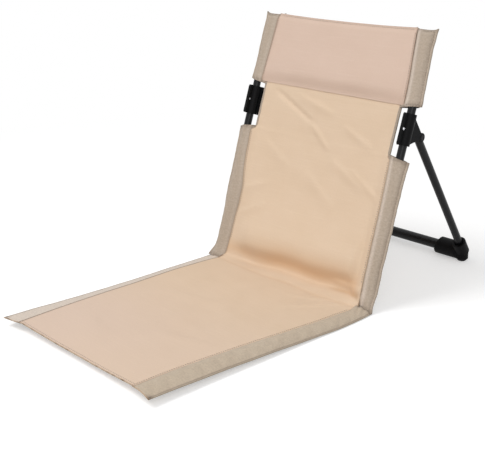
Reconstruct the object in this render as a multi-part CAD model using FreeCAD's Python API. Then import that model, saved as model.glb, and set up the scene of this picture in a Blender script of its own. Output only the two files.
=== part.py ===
import FreeCAD, Part
import math
import os
from FreeCAD import Vector

os.makedirs("parts", exist_ok=True)

# Floor chair: a cloth seat on the floor, a reclined cloth back on two tubes, a fold-out rear stand.
# Millimetres and degrees, +Z up, the seat towards -Y, the origin on the floor in the middle of the outline.

# Whole chair
half_width = 200.0          # to the outer edge of the side strips
seat_length = 474.0         # crease to front edge
back_length = 489.0         # crease to top edge, along the back
recline = 71.4              # back above the floor

# Steel tube
tube_r = 7.2
tube_wall = 1.0
slip = 0.05                 # radial play of a tube in its socket
tube_x = 185.0
tube_low = 16.0             # along the back, from the crease
tube_high = 480.0
end_room = 2.0              # past each end of the tube, inside its sleeve

# Plug in the leg's upper end
plug_r = tube_r - tube_wall - 0.1
plug_depth = 12.0
plug_head = 2.4
plug_round = 1.6

# Hinge bracket, sizes along the back and behind the tube's centre line
bracket_low = 289.5
bracket_high = 344.0
barrel_r = 10.7
lip_front = 17.5
lip_rear = 15.0
lip_thick = 2.8             # each half's flange
lip_corner = 3.0
pivot_up = 310.8
pivot_back = 56.0
boss_r = 8.2
boss_low = 48.0             # the lower edge leaves the boss at this angle
ridge_over = 2.6            # the cheeks' upper edge runs along the open leg, this far above its centre line
web_low = 17.0              # where the cheeks' arched lower edge starts
web_arch = 298.0            # and its height half way to the boss
fork_front = 16.0
fork_wall = 3.0
neck_in = 172.0             # a neck on the outer cheek's side joins the fork to the barrel
neck_front = 4.0
tail_room = 2.0             # ahead of the leg's capped tail
fork_play = 0.4             # each side of the leg
saddle_end = 9.5            # the saddle under the leg's tail stops this far short of the pivot
stop_gap = 0.3              # between the open leg and its saddle

# Rivet and pivot pin
rivet_r = 1.8
rivet_play = 0.1
rivet_head_r = 2.8
rivet_head = 1.3
rivet_front = 13.2
pin_r = 2.5
pin_play = 0.08
pin_head_r = 4.6
pin_head = 1.6
pin_proud = 0.7

# Rear stand
leg_x = 170.0
corner_y = 324.3            # leg and bar axes meet here, behind the crease
corner_z = 18.8
leg_tail = 26.0             # above the pivot
leg_end = 4.0               # the leg stops this far above the corner
bar_r = 10.0
bar_wall = 1.2
bar_end = 155.0
foot_inner = 112.0
foot_r = 17.2
foot_slope = 14.0           # how far the socket's mouth leans out of square
foot_full = 161.0           # the swell keeps its size to here, then closes round the leg
foot_close = 173.0
foot_close_r = 10.2
socket_round = 3.0
collar_r = 13.2
collar_top = 27.0
collar_lead = 2.0
toe_r = 12.0
toe_round = 5.0
toe_front = 0.5             # the toe's centre ahead of the corner

# Cloth
sleeve_in = 162.0
sleeve_half = 8.6           # half its thickness over the tube
sleeve_edge = 1.8
upper_low = 356.0
lower_high = 262.0
sleeve_slant = 9.0          # the inner corner of a lower sleeve stands this much higher
panel_half = 161.6
panel_thick = 2.4
seam_gap = 0.5              # between neighbouring cloth pieces
panel_low = 2.5
head_thick = 7.0
pad_thick = 13.0            # the seat's filling, away from its ends
pad_rear = 7.0              # at the crease
pad_full = 80.0             # full from here
pad_less = 420.0            # to here
pad_front = 8.0             # at the front hem
pad_dip = 1.5               # lower in the middle
band_in = 162.0
band_under = 12.0           # the bands' flat underside stops this far inside their outer edge
band_crown = 3.0            # their top swells this much
band_facets = 5
edge_half = 1.2             # half the sewn outer edge
edge_rear = 3.0             # height of that edge behind
edge_front = 13.5           # and in front
lift_start = 313.0
front_rise = 8.0            # the front edge is this much higher
hem_deep = 6.0
hem_thick = 5.5
hem_bow = 6.0
band_short = 3.0            # between the bands' front ends and the bowed hem
crease_gap = 6.5            # the bands' rear ends stop this far in front of the crease
seat_rear = 2.0             # and the seat panel's this far

# Worked out
lean = 90.0 - recline
rear_reach = corner_y + foot_r
crease_y = (seat_length - rear_reach) / 2
crease = Vector(0, crease_y, 0)
fork_mid = leg_x
fork_half = tube_r + fork_play
fork_in = fork_mid - fork_half - fork_wall
fork_out = fork_mid + fork_half + fork_wall
sin_b = math.sin(math.radians(recline))
cos_b = math.cos(math.radians(recline))
pivot_y = pivot_up * cos_b + pivot_back * sin_b
pivot_z = pivot_up * sin_b - pivot_back * cos_b
leg_length = math.hypot(corner_y - pivot_y, pivot_z - corner_z)
leg_tilt = math.degrees(math.atan2(corner_y - pivot_y, pivot_z - corner_z))
open_angle = leg_tilt + lean
pivot = Vector(0, crease_y + pivot_y, pivot_z)
corner = Vector(leg_x, crease_y + corner_y, corner_z)
axis_x = Vector(1, 0, 0)
axis_y = Vector(0, 1, 0)
axis_z = Vector(0, 0, 1)


def line(a, b):
    return Part.LineSegment(a, b).toShape()


def arc(a, b, c):
    return Part.Arc(a, b, c).toShape()


def face(edges):
    return Part.Face(Part.Wire(edges))


def polygon(points):
    return Part.Face(Part.makePolygon(points + points[:1]))


def cylinder(radius, start, end):
    along = end.sub(start)
    return Part.makeCylinder(radius, along.Length, start, along)


def tube(start, end, radius=tube_r, wall=tube_wall):
    return cylinder(radius, start, end).cut(cylinder(radius - wall, start, end))


def turned(profile):
    # a solid of revolution about Z from its (radius, height) corners, first and last on the axis
    return polygon([Vector(r, 0, h) for r, h in profile]).revolve(Vector(0, 0, 0), axis_z, 360)


def box(low, high):
    return Part.makeBox(high.x - low.x, high.y - low.y, high.z - low.z, low)


def lean_back(shape):
    # back parts are drawn upright over the crease, then leaned about it
    shape.rotate(crease, axis_x, -lean)
    return shape


def swing_out(shape):
    # leg parts are drawn hanging below the pivot, then swung to the open stand
    shape.rotate(pivot, axis_x, leg_tilt)
    return shape


def other_side(shape):
    return shape.mirror(Vector(0, 0, 0), axis_x)


def save(name, shape):
    shape.removeSplitter().exportStep("parts/" + name + ".step")


def save_pair(name, right):
    save(name + "_right", right)
    save(name + "_left", other_side(right))


def on_back(x, behind, up):
    return Vector(x, crease_y + behind, up)


# Back tubes

def back_tube():
    return lean_back(tube(on_back(tube_x, 0, tube_low), on_back(tube_x, 0, tube_high)))


# Hinge brackets

def by_leg(x, along, above):
    # a point of the side view beside the open leg, from the pivot: down the leg, and square to it
    angle = math.radians(open_angle)
    down = Vector(0, math.sin(angle), -math.cos(angle))
    up = Vector(0, math.cos(angle), math.sin(angle))
    return on_back(x, pivot_back, pivot_up).add(down * along).add(up * above)


def fork_outline(x):
    # a cheek: its ridge follows the open leg to a round boss at the pivot, its lower edge is arched
    centre = on_back(x, pivot_back, pivot_up)
    low_front = on_back(x, fork_front, bracket_low)
    high_front = on_back(x, fork_front, bracket_high)
    ridge_end = math.sqrt(boss_r ** 2 - ridge_over ** 2)
    upper = by_leg(x, -ridge_end, ridge_over)
    rise = (bracket_high - upper.z) / math.cos(math.radians(open_angle))
    high_rear = by_leg(x, -ridge_end - rise, ridge_over)
    low_rear = on_back(x, web_low, bracket_low)
    angle = math.radians(boss_low)
    lower = centre.sub(Vector(0, math.sin(angle), math.cos(angle)) * boss_r)
    arch = on_back(x, (web_low + lower.y - crease_y) / 2, web_arch)
    return face([line(low_front, high_front), line(high_front, high_rear), line(high_rear, upper),
                 arc(upper, centre.add(Vector(0, boss_r, 0)), lower), arc(lower, arch, low_rear),
                 line(low_rear, low_front)])


def leg_room(x):
    # between the cheeks: a channel that the open leg's tail lies in, open behind for the folding leg
    saddle = -tube_r - stop_gap
    tail = -leg_tail - plug_head - tail_room
    front = by_leg(x, tail, saddle)
    rear = by_leg(x, -saddle_end, saddle)
    return polygon([by_leg(x, tail, 60.0), front, rear, on_back(x, rear.y - crease_y, bracket_low - 60),
                    on_back(x, 150.0, bracket_low - 60), on_back(x, 150.0, bracket_high + 60)])


def lip_plate(x_low, x_high, rear):
    # the flat clamping flange, with rounded corners in side view
    plate = box(on_back(x_low, -lip_front, bracket_low), on_back(x_high, rear, bracket_high))
    front_edges = [e for e in plate.Edges
                   if abs(e.BoundBox.YMax - (crease_y - lip_front)) < 0.01 and e.BoundBox.XLength > 1.0]
    return plate.makeFillet(lip_corner, front_edges)


def barrel_half(side):
    # half of the round housing: side -1 towards the chair's middle, +1 outwards
    barrel = cylinder(barrel_r, on_back(tube_x, 0, bracket_low), on_back(tube_x, 0, bracket_high))
    low_x = tube_x if side > 0 else tube_x - barrel_r
    keep = box(on_back(low_x, -barrel_r, bracket_low), on_back(low_x + barrel_r, barrel_r, bracket_high))
    return barrel.common(keep)


def tube_bore():
    return cylinder(tube_r + slip, on_back(tube_x, 0, bracket_low - 5), on_back(tube_x, 0, bracket_high + 5))


def rivet_bore():
    middle = (bracket_low + bracket_high) / 2
    return cylinder(rivet_r + rivet_play, on_back(tube_x - 20, -rivet_front, middle),
                    on_back(tube_x + 20, -rivet_front, middle))


def bracket_body():
    width = fork_out - fork_in
    fork = fork_outline(fork_in).extrude(axis_x * width)
    room = leg_room(fork_mid - fork_half).extrude(axis_x * (2 * fork_half))
    neck = box(on_back(neck_in, neck_front, bracket_low), on_back(fork_out, fork_front, bracket_high))
    rear_flange = box(on_back(fork_out, 0, bracket_low), on_back(tube_x, lip_rear, bracket_high))
    body = fork.cut(room).fuse([neck, rear_flange, barrel_half(-1), lip_plate(tube_x - lip_thick, tube_x, 0)])
    bore = cylinder(pin_r + pin_play, on_back(fork_in - 1, pivot_back, pivot_up),
                    on_back(fork_out + 1, pivot_back, pivot_up))
    return lean_back(body.cut(tube_bore()).cut(rivet_bore()).cut(bore))


def bracket_cap():
    cap = barrel_half(1).fuse(lip_plate(tube_x, tube_x + lip_thick, lip_rear))
    return lean_back(cap.cut(tube_bore()).cut(rivet_bore()))


def headed_pin(start, length, radius, head_r, head):
    # a straight pin along X with a low head on its outer end, its inner end standing a little proud
    pin = turned([(0, -pin_proud), (radius, -pin_proud), (radius, length), (head_r, length),
                  (head_r * 0.6, length + head), (0, length + head)])
    pin.rotate(Vector(0, 0, 0), axis_y, 90)
    pin.translate(start)
    return pin


def clamp_rivet():
    middle = (bracket_low + bracket_high) / 2
    return lean_back(headed_pin(on_back(tube_x - lip_thick, -rivet_front, middle), 2 * lip_thick,
                                rivet_r, rivet_head_r, rivet_head))


def pivot_pin():
    return lean_back(headed_pin(on_back(fork_in, pivot_back, pivot_up), fork_out - fork_in,
                                pin_r, pin_head_r, pin_head))


# Rear stand

def below_pivot(distance):
    return Vector(leg_x, pivot.y, pivot.z - distance)


def leg():
    pin_hole = cylinder(pin_r + pin_play, below_pivot(0).sub(axis_x * 20), below_pivot(0).add(axis_x * 20))
    return swing_out(tube(below_pivot(-leg_tail), below_pivot(leg_length - leg_end)).cut(pin_hole))


def leg_cap():
    # a rounded head on the tail's end, with a shank inside the tube
    shape = turned([(0, -plug_depth), (plug_r, -plug_depth), (plug_r, 0), (tube_r, 0),
                    (tube_r - plug_round, plug_head), (0, plug_head)])
    shape.translate(below_pivot(-leg_tail))
    return swing_out(shape)


def foot():
    # a moulded elbow: a swollen socket for the bar, a collar for the leg, a round toe on the floor
    swell = turned([(0, foot_inner), (foot_r - socket_round, foot_inner),
                    (foot_r, foot_inner + socket_round), (foot_r, foot_full),
                    (foot_close_r, foot_close), (0, foot_close)])
    swell.rotate(Vector(0, 0, 0), axis_y, 90)
    swell.translate(corner.sub(axis_x * leg_x))
    mouth = box(Vector(foot_inner - 40, corner.y - 40, corner.z - foot_r),
                Vector(foot_inner, corner.y + 40, corner.z + 40))
    mouth.rotate(Vector(foot_inner, corner.y, corner.z - foot_r), axis_y, foot_slope)
    up = swing_direction(-1)
    rim = corner.add(up * collar_top)
    toe = Vector(leg_x, corner.y - toe_front, 0)
    collar = cylinder(collar_r, corner, rim).fuse([
        cylinder(toe_r, toe.add(axis_z * toe_round), toe.add(axis_z * corner_z)),
        Part.makeCone(toe_r - toe_round, toe_r, toe_round, toe)])
    lead = Part.makeCone(tube_r + slip, tube_r + slip + collar_lead, collar_lead,
                         rim.sub(up * collar_lead), up)
    leg_bore = cylinder(tube_r + slip, corner.add(up * leg_end), rim.add(up * 5))
    bar_bore = cylinder(bar_r + slip, Vector(foot_inner - 5, corner.y, corner.z),
                        Vector(bar_end, corner.y, corner.z))
    return swell.cut(mouth).fuse(collar).cut(leg_bore).cut(lead).cut(bar_bore)


def swing_direction(way):
    # along the open leg: +1 down, -1 up
    tilt = math.radians(leg_tilt)
    return Vector(0, way * math.sin(tilt), -way * math.cos(tilt))


def cross_bar():
    return tube(Vector(-bar_end, corner.y, corner.z), Vector(bar_end, corner.y, corner.z), bar_r, bar_wall)


# Cloth of the back

def sleeve_section(up):
    # a lens: thin at both seams, fullest over the tube
    mid = (sleeve_in + half_width) / 2
    a = on_back(sleeve_in, -sleeve_edge, up)
    b = on_back(half_width, -sleeve_edge, up)
    c = on_back(half_width, sleeve_edge, up)
    d = on_back(sleeve_in, sleeve_edge, up)
    return face([arc(a, on_back(mid, -sleeve_half, up), b), line(b, c),
                 arc(c, on_back(mid, sleeve_half, up), d), line(d, a)])


def tube_room():
    # a sleeve's inside: eight flat sides about the tube, past both of its ends
    sides = 8
    reach = (tube_r + 0.1) / math.cos(math.pi / sides)
    turns = [math.pi * (2 * i + 1) / sides for i in range(sides)]
    low = tube_low - end_room
    corners = [on_back(tube_x + reach * math.cos(a), reach * math.sin(a), low) for a in turns]
    return polygon(corners).extrude(axis_z * (tube_high + end_room - low))


def sleeve_run(low, high):
    return sleeve_section(low).extrude(axis_z * (high - low))


def upper_sleeve():
    # sewn shut along its top, so both faces slope in to the seam above the tube
    shape = sleeve_run(upper_low, back_length)
    foot_z = tube_high + end_room + 1.0
    for side in (-1, 1):
        wedge = polygon([on_back(sleeve_in - 1, side * (sleeve_half + 1), foot_z),
                         on_back(sleeve_in - 1, side * sleeve_edge, back_length),
                         on_back(sleeve_in - 1, side * (sleeve_half + 1), back_length)])
        shape = shape.cut(wedge.extrude(axis_x * (half_width - sleeve_in + 2)))
    return lean_back(shape.cut(tube_room()))


def lower_sleeve():
    # its top slants down to the outside, its lower end is cut where it meets floor and seat
    high = lower_high + sleeve_slant
    shape = sleeve_run(-4.0, high)
    over = polygon([on_back(sleeve_in, -30, high), on_back(half_width, -30, lower_high),
                    on_back(half_width + 9, -30, high + 50), on_back(sleeve_in - 9, -30, high + 50)])
    shape = lean_back(shape.cut(over.extrude(axis_y * 60)).cut(tube_room()))
    floor = box(Vector(0, crease_y - 60, -60), Vector(300, crease_y + 60, 0))
    front = box(Vector(0, crease_y - 60, -60), Vector(300, crease_y - crease_gap + 0.8, 60))
    return shape.cut(floor).cut(front)


def panel_section(up, front, rear, sag):
    # cloth across the back: front and rear faces at the seams, both sagging backwards in the middle
    a = on_back(-panel_half, front, up)
    b = on_back(panel_half, front, up)
    c = on_back(panel_half, rear, up)
    d = on_back(-panel_half, rear, up)
    return Part.Wire([arc(a, on_back(0, front + sag[0], up), b), line(b, c),
                      arc(c, on_back(0, rear + sag[1], up), d), line(d, a)])


def back_panel():
    half = panel_thick / 2
    stations = [(panel_low, 2.0), (60.0, 7.0), (130.0, 9.0), (240.0, 6.0), (upper_low - seam_gap, 2.0)]
    sections = [panel_section(up, -half, half, (sag, sag)) for up, sag in stations]
    return lean_back(Part.makeLoft(sections, True, True))


def headrest_panel():
    # the doubled cloth: a flat pillow, thin along its top and bottom seams
    half = panel_thick / 2
    crown = (head_thick - panel_thick) / 2
    middle = (upper_low + back_length) / 2
    stations = [(upper_low, 0.4), (upper_low + 25.0, crown), (middle, crown + 0.6),
                (back_length - 20.0, crown), (back_length, 0.4)]
    sections = [panel_section(up, -half, half, (-swell, swell)) for up, swell in stations]
    return lean_back(Part.makeLoft(sections, True, True))


# Cloth of the seat

def seat_lift(ahead):
    # the underside is flat on the floor and tips up over the last third
    return front_rise * max(0.0, (ahead - lift_start) / (seat_length - lift_start))


def seat_y(ahead):
    return crease_y - ahead


def seat_top(ahead):
    # thin at the crease, full a hand's breadth ahead of it, thinner again towards the hem
    rear = min(1.0, ahead / pad_full)
    front = max(0.0, (ahead - pad_less) / (seat_length - pad_less))
    return seat_lift(ahead) + pad_rear + (pad_thick - pad_rear) * rear - (pad_thick - pad_front) * front


def edge_height(ahead):
    # a band's outer edge lies near the floor behind and rises towards the front corner
    return edge_rear + (edge_front - edge_rear) * max(0.0, (ahead - pad_full) / (seat_length - pad_full))


def band_section(ahead):
    # flat below, its top swelling from the seat's seam down to the sewn outer edge
    y = seat_y(ahead)
    low = seat_lift(ahead)
    top = seat_top(ahead)
    edge = edge_height(ahead)
    a = Vector(band_in, y, low)
    b = Vector(half_width - band_under, y, low)
    c = Vector(half_width, y, edge - edge_half)
    d = Vector(half_width, y, edge + edge_half)
    corners = [a, b, c, d]
    for step in range(1, band_facets):
        share = step / band_facets
        x = half_width + (band_in - half_width) * share
        corners.append(Vector(x, y, edge + (top - edge) * share + 4 * band_crown * share * (1 - share)))
    corners.append(Vector(band_in, y, top))
    return Part.makePolygon(corners + corners[:1])


def seat_band():
    stations = [crease_gap, pad_full, lift_start, pad_less, seat_length - hem_deep - band_short]
    return Part.makeLoft([band_section(ahead) for ahead in stations], True, True)


def seat_section(ahead):
    # between the bands the filling dips a little in the middle
    y = seat_y(ahead)
    low = seat_lift(ahead)
    top = seat_top(ahead)
    half = band_in - seam_gap
    a = Vector(-half, y, low)
    b = Vector(half, y, low)
    c = Vector(half, y, top)
    d = Vector(-half, y, top)
    return Part.Wire([line(a, b), line(b, c), arc(c, Vector(0, y, top - pad_dip), d), line(d, a)])


def seat_panel():
    stations = [seat_rear, pad_full, lift_start, pad_less, seat_length - hem_bow - hem_deep - seam_gap]
    return Part.makeLoft([seat_section(ahead) for ahead in stations], True, True)


def front_hem():
    # a flat folded hem whose middle is drawn back between the corners
    low = seat_lift(seat_length)
    front_y = seat_y(seat_length)
    rear_y = front_y + hem_deep
    end_x = half_width - 7.0
    a = Vector(-end_x, front_y, low)
    b = Vector(end_x, front_y, low)
    c = Vector(end_x, rear_y, low)
    d = Vector(-end_x, rear_y, low)
    outline = face([arc(a, Vector(0, front_y + hem_bow, low), b), line(b, c),
                    arc(c, Vector(0, rear_y + hem_bow, low), d), line(d, a)])
    return outline.extrude(axis_z * hem_thick)


save_pair("back_tube", back_tube())
save_pair("bracket_body", bracket_body())
save_pair("bracket_cap", bracket_cap())
save_pair("clamp_rivet", clamp_rivet())
save_pair("pivot_pin", pivot_pin())
save_pair("upper_sleeve", upper_sleeve())
save_pair("lower_sleeve", lower_sleeve())
save("back_panel", back_panel())
save("headrest_panel", headrest_panel())

save_pair("leg", leg())
save_pair("leg_cap", leg_cap())
save_pair("foot", foot())
save("cross_bar", cross_bar())

save("seat_panel", seat_panel())
save_pair("seat_band", seat_band())
save("front_hem", front_hem())

print("pivot at y %.2f z %.2f, open angle %.2f" % (pivot.y, pivot.z, open_angle))
print("crease at y %.2f, leg length %.1f" % (crease_y, leg_length))
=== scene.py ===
import bpy
import bmesh
import math
import numpy as np
from mathutils import Matrix, Vector


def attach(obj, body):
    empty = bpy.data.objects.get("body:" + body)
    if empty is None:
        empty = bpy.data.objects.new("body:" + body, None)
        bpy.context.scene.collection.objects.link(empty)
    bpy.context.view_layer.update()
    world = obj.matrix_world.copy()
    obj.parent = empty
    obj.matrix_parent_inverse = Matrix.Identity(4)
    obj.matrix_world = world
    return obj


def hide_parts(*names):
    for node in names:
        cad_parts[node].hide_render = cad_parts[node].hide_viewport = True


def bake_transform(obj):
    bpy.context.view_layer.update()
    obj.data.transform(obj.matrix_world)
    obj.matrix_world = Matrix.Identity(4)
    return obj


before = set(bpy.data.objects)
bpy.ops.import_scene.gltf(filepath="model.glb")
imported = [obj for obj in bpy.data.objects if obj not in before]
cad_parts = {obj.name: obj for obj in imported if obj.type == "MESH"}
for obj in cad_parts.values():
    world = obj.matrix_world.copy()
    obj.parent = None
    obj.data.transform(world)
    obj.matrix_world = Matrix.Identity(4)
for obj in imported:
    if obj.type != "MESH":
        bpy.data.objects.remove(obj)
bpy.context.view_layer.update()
scene = bpy.context.scene
scene.view_settings.view_transform = "Standard"
print("frame loaded, %d nodes" % len(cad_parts))

# where seat and back meet on the floor, and how far the back stands up from it
chair = {"creaseY": 0.06625, "recline": math.radians(71.4)}
cosBack, sinBack = math.cos(chair["recline"]), math.sin(chair["recline"])
handOf = {1: "Right", -1: "Left"}

# camera, solved from the corners of the seat, the back and the stand
cameraSettings = {"azimuth": 46.089, "elevation": 18.921, "roll": -0.342, "lens": 69.91, "sensor": 36,
                  "clip": (0.05, 50), "place": (1.1152, -1.11575, 0.6636)}


def makeCamera(settings):
    az, el, roll = (math.radians(settings[k]) for k in ("azimuth", "elevation", "roll"))
    back = Vector((math.sin(az) * math.cos(el), -math.cos(az) * math.cos(el), math.sin(el)))
    right = Vector((math.cos(az), math.sin(az), 0))
    up = back.cross(right)
    rolledRight = right * math.cos(roll) + up * math.sin(roll)
    rolledUp = up * math.cos(roll) - right * math.sin(roll)
    turn = Matrix((rolledRight, rolledUp, back)).transposed().to_4x4()
    data = bpy.data.cameras.new("camera")
    data.sensor_fit, data.sensor_width = "HORIZONTAL", settings["sensor"]
    data.lens = settings["lens"]
    data.clip_start, data.clip_end = settings["clip"]
    camera = bpy.data.objects.new("camera", data)
    scene.collection.objects.link(camera)
    camera.matrix_world = Matrix.Translation(settings["place"]) @ turn
    scene.camera = camera


makeCamera(cameraSettings)


# materials

def hexColor(code):
    parts = [int(code[i:i + 2], 16) / 255 for i in (1, 3, 5)]
    linear = [c / 12.92 if c <= 0.04045 else ((c + 0.055) / 1.055) ** 2.4 for c in parts]
    return (*linear, 1)


def addNode(tree, kind, inputs=None, **settings):
    node = tree.nodes.new(kind)
    for key, value in settings.items():
        setattr(node, key, value)
    for socket, value in (inputs or {}).items():
        if isinstance(value, bpy.types.NodeSocket):
            tree.links.new(value, node.inputs[socket])
        else:
            node.inputs[socket].default_value = value
    return node


def calc(tree, operation, a, b):
    return addNode(tree, "ShaderNodeMath", {0: a, 1: b}, operation=operation).outputs[0]


def mixColors(tree, share, a, b):
    a, b = (hexColor(color) if isinstance(color, str) else color for color in (a, b))
    return addNode(tree, "ShaderNodeMix", {"Factor": share, "A": a, "B": b}, data_type="RGBA").outputs["Result"]


def noise(tree, place, size, detail, roughness=0.5):
    return addNode(tree, "ShaderNodeTexNoise", {"Vector": place, "Scale": 1 / size, "Detail": detail,
                                                "Roughness": roughness}).outputs["Fac"]


def remap(tree, value, given=(0, 1), wanted=(0, 1), **settings):
    return addNode(tree, "ShaderNodeMapRange", {
        "Value": value, "From Min": given[0], "From Max": given[1], "To Min": wanted[0], "To Max": wanted[1]},
        **settings).outputs["Result"]


def carried(tree, name):
    # a shade that the piece's mesh carries
    return addNode(tree, "ShaderNodeAttribute", attribute_name=name).outputs["Fac"]


def bumped(tree, height, strength, distance, **more):
    return addNode(tree, "ShaderNodeBump", {"Height": height, "Strength": strength, "Distance": distance, **more}
                   ).outputs["Normal"]


def waveScale(length):
    return 2 * math.pi / (20 * length)


def newMaterial(name):
    material = bpy.data.materials.new(name)
    material.use_nodes = True
    material.node_tree.nodes.clear()
    return material, material.node_tree


def setSurface(tree, settings):
    shader = addNode(tree, "ShaderNodeBsdfPrincipled", settings)
    addNode(tree, "ShaderNodeOutputMaterial", {"Surface": shader.outputs["BSDF"]})


# polyester oxford cloth, piece dyed and plain woven: matte with a faint sheen, soft cloudy shade
# threads are 0.5 mm apart in the real cloth, drawn at 1.1 mm so that they show
sandCloth = {"color": "#D9C2AA", "cloud": "#D2B99E", "slub": "#DEC9B3", "seam": "#6E5744", "hollowShade": "#D2A87E",
             "tintAndHighlight": "#D4BDAC", "thread": 0.0011, "weave": 0.22, "fleck": 0.02, "rough": 0.86, "sheen": 0.12}
# two layers, a cooler tone
doubleCloth = dict(sandCloth, color="#D0B8A8", cloud="#CAB1A0", slub="#D4BFB1", hollowShade="#B59B89")
stripCloth = {"color": "#B3A495", "cloud": "#A89988", "slub": "#BDB0A2", "seam": "#6B5D52", "hollowShade": "#A6937F",
              "tintAndHighlight": "#CDBFB2", "thread": 0.0013, "weave": 0.3, "fleck": 0.12, "rough": 0.88, "sheen": 0.14}
# same strip drawn lighter, a painted highlight for the light the seat's bands catch
bandCloth = dict(stripCloth, color="#BFB09D", cloud="#B6A692", slub="#C7BAA9", tintAndHighlight="#D4C7BB")
# sizes of what shows in the weave, and the most that each of them counts
weaving = {"cloudSize": 0.07, "slubLong": 0.06, "slubWide": 0.003, "slubSeen": (0.52, 0.75), "slubMost": 0.22,
           "fleckSize": 0.003, "fleckSeen": (0.3, 0.7), "hollowMost": 0.6, "threadHigh": 0.0006}


def wovenCloth(name, look):
    material, tree = newMaterial(name)
    uv = addNode(tree, "ShaderNodeTexCoord").outputs["UV"]
    sides = []
    for direction in ("X", "Y"):
        yarns = addNode(tree, "ShaderNodeTexWave", {
            "Vector": uv, "Scale": waveScale(2 * look["thread"]), "Distortion": 0.6, "Detail": 1.0,
            "Detail Scale": 0.02}, bands_direction=direction)
        sides.append(calc(tree, "SUBTRACT", yarns.outputs["Fac"], 0.5))
    overUnder = calc(tree, "MULTIPLY", *sides)
    # uneven dye, and a paler tint: cooler towards the seat's front, a painted highlight on the seat's left band and on
    # the sleeves beside the cloth
    cloud = noise(tree, uv, weaving["cloudSize"], 3.0, 0.55)
    color = mixColors(tree, cloud, look["color"], look["cloud"])
    color = mixColors(tree, carried(tree, "tintAndHighlight"), color, look["tintAndHighlight"])
    # thicker yarns
    streaks = addNode(tree, "ShaderNodeMapping", {
        "Vector": uv, "Scale": (1 / weaving["slubLong"], 1 / weaving["slubWide"], 1)}).outputs["Vector"]
    slub = remap(tree, noise(tree, streaks, 1.0, 2.0), weaving["slubSeen"], (0, weaving["slubMost"]))
    color = mixColors(tree, slub, color, look["slub"])
    # flecks of lighter and darker yarn
    fleck = remap(tree, noise(tree, uv, weaving["fleckSize"], 3.0, 0.7), weaving["fleckSeen"],
                  (1 - look["fleck"], 1 + look["fleck"]))
    flecked = addNode(tree, "ShaderNodeVectorMath", {0: color, "Scale": fleck}, operation="SCALE").outputs["Vector"]
    # dark sewn lines, with painted shade where the cloth is pulled in along its seams, beside edges and in creases
    color = mixColors(tree, carried(tree, "seam"), flecked, look["seam"])
    # painted shade: down in the fold light bounces from cloth to cloth, so it is drawn darker and warmer there
    hollowShade = calc(tree, "MULTIPLY", carried(tree, "hollowShade"), weaving["hollowMost"])
    color = mixColors(tree, hollowShade, color, look["hollowShade"])
    setSurface(tree, {"Base Color": color, "Normal": bumped(tree, overUnder, look["weave"], weaving["threadHigh"]),
                      "Roughness": look["rough"], "Specular IOR Level": 0.22, "Sheen Weight": look["sheen"],
                      "Sheen Roughness": 0.45})
    return material


# powder-coated steel: even black satin with a very fine orange peel, about 0.9 mm
tubeCoat = {"color": "#0A0A0C", "worn": "#141417", "peel": 0.0009, "rough": 0.33, "shine": 0.24, "metal": 0.0,
            "rounding": 0.0004}
# glass-filled nylon, moulded against an etched tool: deep black, dull, a fine grain about 0.7 mm
nylon = {"color": "#09090A", "worn": "#101012", "peel": 0.0007, "rough": 0.52, "shine": 0.1, "metal": 0.0,
         "rounding": 0.0009}
# black oxide on turned steel: thin dark film, edges brighter
oxide = {"color": "#1A1A1D", "worn": "#2C2C31", "peel": 0.0005, "rough": 0.36, "shine": 0.3, "metal": 0.5,
         "rounding": 0.0004}
scuffs = {"size": 0.025, "seen": (0.5, 0.8), "most": 0.8, "roughBy": 0.07}


def darkCoat(name, look):
    material, tree = newMaterial(name)
    place = addNode(tree, "ShaderNodeTexCoord").outputs["Object"]
    peel = noise(tree, place, look["peel"], 2.0)
    scuff = noise(tree, place, scuffs["size"], 6.0, 0.65)
    rubbed = remap(tree, scuff, scuffs["seen"], (0, scuffs["most"]))
    rough = remap(tree, scuff, wanted=(look["rough"] - scuffs["roughBy"], look["rough"] + scuffs["roughBy"]))
    rounded = addNode(tree, "ShaderNodeBevel", {"Radius": look["rounding"]}, samples=6).outputs["Normal"]
    setSurface(tree, {"Base Color": mixColors(tree, rubbed, look["color"], look["worn"]), "Roughness": rough,
                      "Metallic": look["metal"], "IOR": 1.5, "Specular IOR Level": look["shine"],
                      "Normal": bumped(tree, peel, 0.12, 0.0003, Normal=rounded)})
    return material


# bright zinc on steel: pale grey metal with fine turning marks, about 0.3 mm apart
zincCoat = {"color": "#C9CACE", "marks": 0.0003, "rough": (0.28, 0.48), "bump": 0.08, "bumpHigh": 0.0001}


def zincPlate(name, look):
    material, tree = newMaterial(name)
    place = addNode(tree, "ShaderNodeTexCoord").outputs["Object"]
    marks = noise(tree, place, look["marks"], 2.0)
    setSurface(tree, {"Base Color": hexColor(look["color"]), "Metallic": 1.0,
                      "Roughness": remap(tree, marks, wanted=look["rough"]),
                      "Normal": bumped(tree, marks, look["bump"], look["bumpHigh"])})
    return material


# polyester sewing thread, two-ply: a twist about 1 mm long, slightly glossy
twistedThread = {"color": "#A89A8B", "dark": "#7D7064", "twist": 0.001, "rough": 0.6, "sheen": 0.2}


def sewingThread(name, look):
    material, tree = newMaterial(name)
    place = addNode(tree, "ShaderNodeTexCoord").outputs["Object"]
    twist = addNode(tree, "ShaderNodeTexWave", {"Vector": place, "Scale": waveScale(look["twist"])},
                    bands_direction="DIAGONAL").outputs["Fac"]
    setSurface(tree, {"Base Color": mixColors(tree, twist, look["dark"], look["color"]), "Roughness": look["rough"],
                      "Sheen Weight": look["sheen"]})
    return material


sand = wovenCloth("oxfordClothSand", sandCloth)
sandDouble = wovenCloth("oxfordClothSandDoubled", doubleCloth)
strip = wovenCloth("oxfordClothKhaki", stripCloth)
bandStrip = wovenCloth("oxfordClothKhakiPaintedHighlight", bandCloth)
tubeSteel = darkCoat("steelPowderCoated", tubeCoat)
moulded = darkCoat("nylonMoulded", nylon)
pinSteel = darkCoat("steelBlackOxide", oxide)
zinc = zincPlate("steelZincPlated", zincCoat)
seamThread = sewingThread("threadGreyBeige", twistedThread)
print("materials made")


# shapes

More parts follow.
